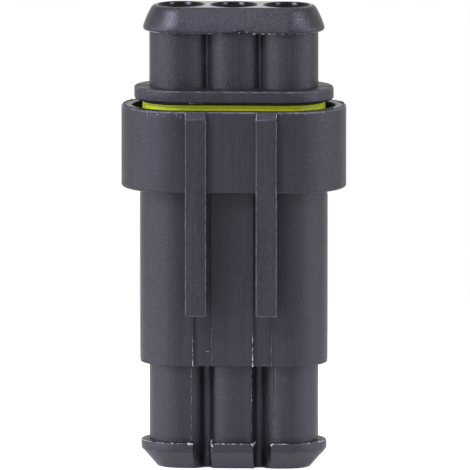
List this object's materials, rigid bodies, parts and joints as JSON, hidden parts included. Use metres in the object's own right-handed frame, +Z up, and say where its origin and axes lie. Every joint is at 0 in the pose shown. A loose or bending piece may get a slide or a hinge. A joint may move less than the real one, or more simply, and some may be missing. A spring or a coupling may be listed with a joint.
{
  "type": "sealed wire connector pair",
  "caption": "Sealed in-line wire connector pair: plug with flange and rubber seal pushed into a hooded cap with latch arms, lobed towers and flared end lips.",
  "frame": {"origin": "centre of the flat end face of the cap half, which the pair stands on", "axes": "+Z up along the wires towards the plug, X along the row of wires, the latch arms face -Y"},
  "size_m": [0.0254, 0.0142, 0.0527],
  "materials": {
    "housing_plastic": "matt",
    "lock_plastic": "matt",
    "interface_rubber": "satin",
    "wire_seal_rubber": "satin",
    "contact_brass": "satin"
  },
  "bodies": {
    "cap": {"cap_housing": "housing_plastic", "cap_lock": "lock_plastic", "tab_contact_1": "contact_brass", "tab_contact_2": "contact_brass", "tab_contact_3": "contact_brass", "cap_wire_seal_1": "wire_seal_rubber", "cap_wire_seal_2": "wire_seal_rubber", "cap_wire_seal_3": "wire_seal_rubber"},
    "plug": {"plug_housing": "housing_plastic", "interface_seal": "interface_rubber", "plug_lock": "lock_plastic", "socket_contact_1": "contact_brass", "socket_contact_2": "contact_brass", "socket_contact_3": "contact_brass", "plug_wire_seal_1": "wire_seal_rubber", "plug_wire_seal_2": "wire_seal_rubber", "plug_wire_seal_3": "wire_seal_rubber"}
  },
  "joints": [
    {"name": "plug_slide", "type": "slide", "parent": "cap", "child": "plug", "axis": [0, 0, 1], "range_m": [0, 0.022]}
  ]
}
